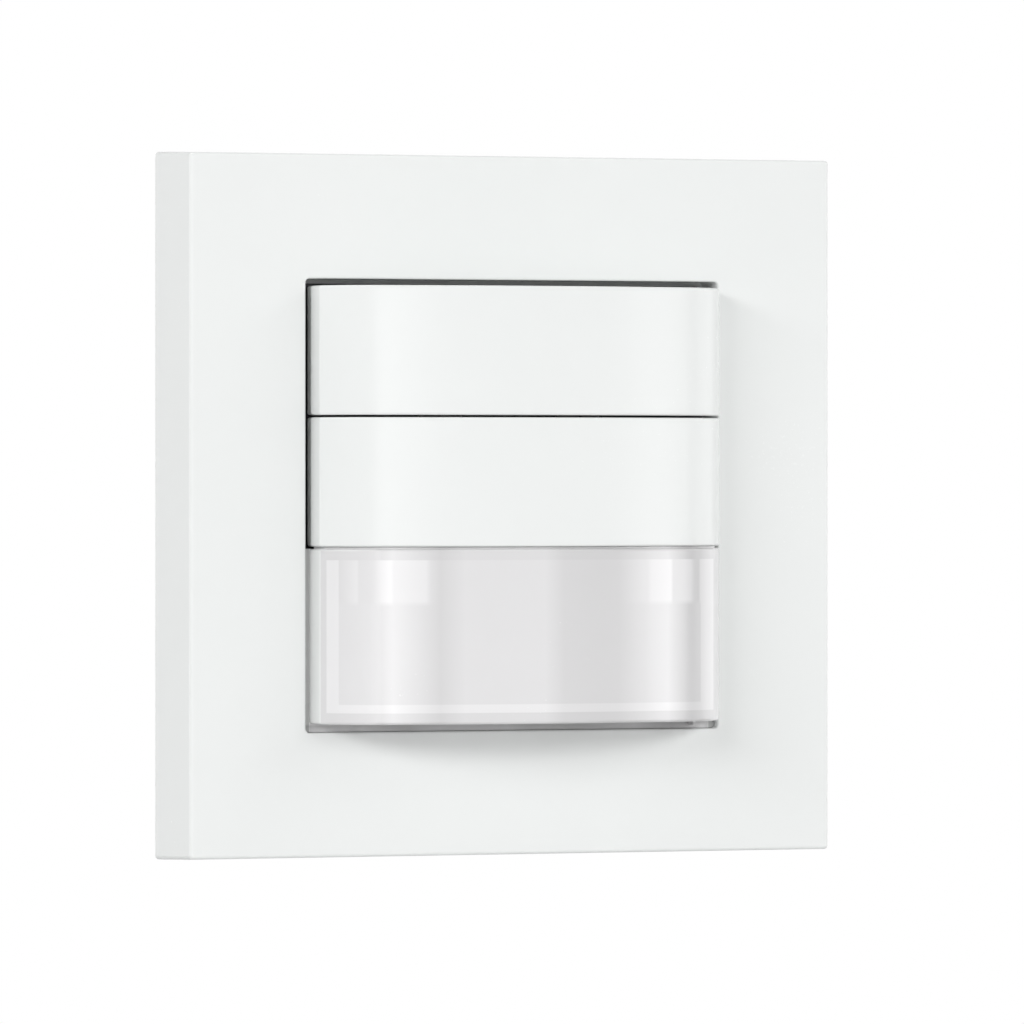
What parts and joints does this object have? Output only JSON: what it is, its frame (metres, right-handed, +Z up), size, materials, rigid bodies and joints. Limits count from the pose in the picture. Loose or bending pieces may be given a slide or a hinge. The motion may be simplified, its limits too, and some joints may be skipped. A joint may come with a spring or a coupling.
{
  "type": "motion sensor light switch",
  "caption": "Flush-mounted wall switch: push keys above a bowed motion sensor lens in a square white cover frame, with support ring, spreading claws and a load module behind.",
  "frame": {"origin": "midway between the two box screws, in the wall plane", "axes": "+X to the right seen from the front, +Y into the wall, +Z up"},
  "size_m": [0.0806, 0.0509, 0.0806],
  "materials": {
    "cover_white": "satin",
    "lens_milky": "translucent satin",
    "inner_dark": "matte",
    "dial_white": "matte",
    "chamber_grey": "matte",
    "module_grey": "matte",
    "terminal_white": "matte",
    "lever_orange": "matte",
    "zinc_steel": "zinc plated",
    "brass": "bright",
    "board_green": "solder mask",
    "capacitor_yellow": "matte",
    "capacitor_blue": "sleeve",
    "ferrite": "matte",
    "led_red": "clear epoxy"
  },
  "bodies": {
    "base": {"cover_frame": "cover_white", "sensor_lens": "lens_milky", "sensor_body": "inner_dark", "rear_cover": "inner_dark", "upper_switch": "inner_dark", "lower_switch": "inner_dark", "time_trimmer": "inner_dark", "twilight_trimmer": "inner_dark", "controller": "inner_dark", "header_base": "inner_dark", "socket_strip": "inner_dark", "pir_window": "inner_dark", "light_sensor": "inner_dark", "lens_chamber": "chamber_grey", "module_lid": "module_grey", "module_housing": "module_grey", "terminal_1": "terminal_white", "terminal_2": "terminal_white", "terminal_3": "terminal_white", "terminal_4": "terminal_white", "relay": "lever_orange", "support_ring": "zinc_steel", "cover_screws": "zinc_steel", "clamp_springs": "zinc_steel", "pir_can": "zinc_steel", "fuse": "zinc_steel", "upper_key_springs": "zinc_steel", "lower_key_springs": "zinc_steel", "ring_rivets": "brass", "header_pins": "brass", "pir_base": "brass", "sensor_board": "board_green", "power_board": "board_green", "film_capacitor": "capacitor_yellow", "smoothing_capacitor": "capacitor_blue", "varistor": "capacitor_blue", "choke": "ferrite", "status_led": "led_red"},
    "upper_key": {"upper_key": "cover_white"},
    "lower_key": {"lower_key": "cover_white"},
    "upper_plunger": {"upper_plunger": "lever_orange"},
    "lower_plunger": {"lower_plunger": "lever_orange"},
    "time_dial": {"time_dial": "dial_white"},
    "twilight_dial": {"twilight_dial": "dial_white"},
    "left_claw": {"left_claw": "zinc_steel"},
    "right_claw": {"right_claw": "zinc_steel"},
    "left_claw_screw": {"left_claw_screw": "zinc_steel"},
    "right_claw_screw": {"right_claw_screw": "zinc_steel"},
    "left_claw_nut": {"left_claw_nut": "brass"},
    "right_claw_nut": {"right_claw_nut": "brass"},
    "release_lever_1": {"release_lever_1": "lever_orange"},
    "release_lever_2": {"release_lever_2": "lever_orange"},
    "release_lever_3": {"release_lever_3": "lever_orange"},
    "release_lever_4": {"release_lever_4": "lever_orange"}
  },
  "joints": [
    {"name": "upper_key_press", "type": "slide", "parent": "base", "child": "upper_key", "axis": [0, 1, 0], "range_m": [0, 0.0008], "stiffness_N_per_m": 800, "springref_m": -0.0015, "deforming": ["upper_key_springs"]},
    {"name": "upper_plunger_press", "type": "slide", "parent": "base", "child": "upper_plunger", "axis": [0, 1, 0], "range_m": [0, 0.0008]},
    {"name": "lower_key_press", "type": "slide", "parent": "base", "child": "lower_key", "axis": [0, 1, 0], "range_m": [0, 0.0008], "stiffness_N_per_m": 800, "springref_m": -0.0015, "deforming": ["lower_key_springs"]},
    {"name": "lower_plunger_press", "type": "slide", "parent": "base", "child": "lower_plunger", "axis": [0, 1, 0], "range_m": [0, 0.0008]},
    {"name": "time_dial_turn", "type": "hinge", "parent": "base", "child": "time_dial", "pos_m": [-0.0086, -0.009, 0.01018], "axis": [0, 1, 0], "range_deg": [-135, 135]},
    {"name": "twilight_dial_turn", "type": "hinge", "parent": "base", "child": "twilight_dial", "pos_m": [0.0086, -0.009, 0.01018], "axis": [0, 1, 0], "range_deg": [-135, 135]},
    {"name": "left_claw_nut_slide", "type": "slide", "parent": "base", "child": "left_claw_nut", "axis": [0, -1, 0], "range_m": [0, 0.01]},
    {"name": "left_claw_screw_turn", "type": "hinge", "parent": "base", "child": "left_claw_screw", "pos_m": [-0.0242, 0, -0.009], "axis": [0, 1, 0], "range_deg": [0, 7208]},
    {"name": "left_claw_swing", "type": "hinge", "parent": "base", "child": "left_claw", "pos_m": [-0.025, 0.0026, -0.009], "axis": [0, 0, 1], "range_deg": [0, 16.1]},
    {"name": "right_claw_nut_slide", "type": "slide", "parent": "base", "child": "right_claw_nut", "axis": [0, -1, 0], "range_m": [0, 0.01]},
    {"name": "right_claw_screw_turn", "type": "hinge", "parent": "base", "child": "right_claw_screw", "pos_m": [0.0242, 0, -0.009], "axis": [0, 1, 0], "range_deg": [0, 7208]},
    {"name": "right_claw_swing", "type": "hinge", "parent": "base", "child": "right_claw", "pos_m": [0.025, 0.0026, -0.009], "axis": [0, 0, -1], "range_deg": [0, 16.1]},
    {"name": "release_lever_1_press", "type": "slide", "parent": "base", "child": "release_lever_1", "axis": [0, -1, 0], "range_m": [0, 0.0016], "stiffness_N_per_m": 1500, "springref_m": -0.001},
    {"name": "release_lever_2_press", "type": "slide", "parent": "base", "child": "release_lever_2", "axis": [0, -1, 0], "range_m": [0, 0.0016], "stiffness_N_per_m": 1500, "springref_m": -0.001},
    {"name": "release_lever_3_press", "type": "slide", "parent": "base", "child": "release_lever_3", "axis": [0, -1, 0], "range_m": [0, 0.0016], "stiffness_N_per_m": 1500, "springref_m": -0.001},
    {"name": "release_lever_4_press", "type": "slide", "parent": "base", "child": "release_lever_4", "axis": [0, -1, 0], "range_m": [0, 0.0016], "stiffness_N_per_m": 1500, "springref_m": -0.001}
  ],
  "couplings": [
    {"joint": "upper_plunger_press", "follows": "upper_key_press", "ratio": 1},
    {"joint": "lower_plunger_press", "follows": "lower_key_press", "ratio": 1},
    {"joint": "left_claw_screw_turn", "follows": "left_claw_nut_slide", "rad_per_m": 12566},
    {"joint": "left_claw_swing", "follows": "left_claw_nut_slide", "rad_per_m": 27.925},
    {"joint": "right_claw_screw_turn", "follows": "right_claw_nut_slide", "rad_per_m": 12566},
    {"joint": "right_claw_swing", "follows": "right_claw_nut_slide", "rad_per_m": 27.925}
  ]
}
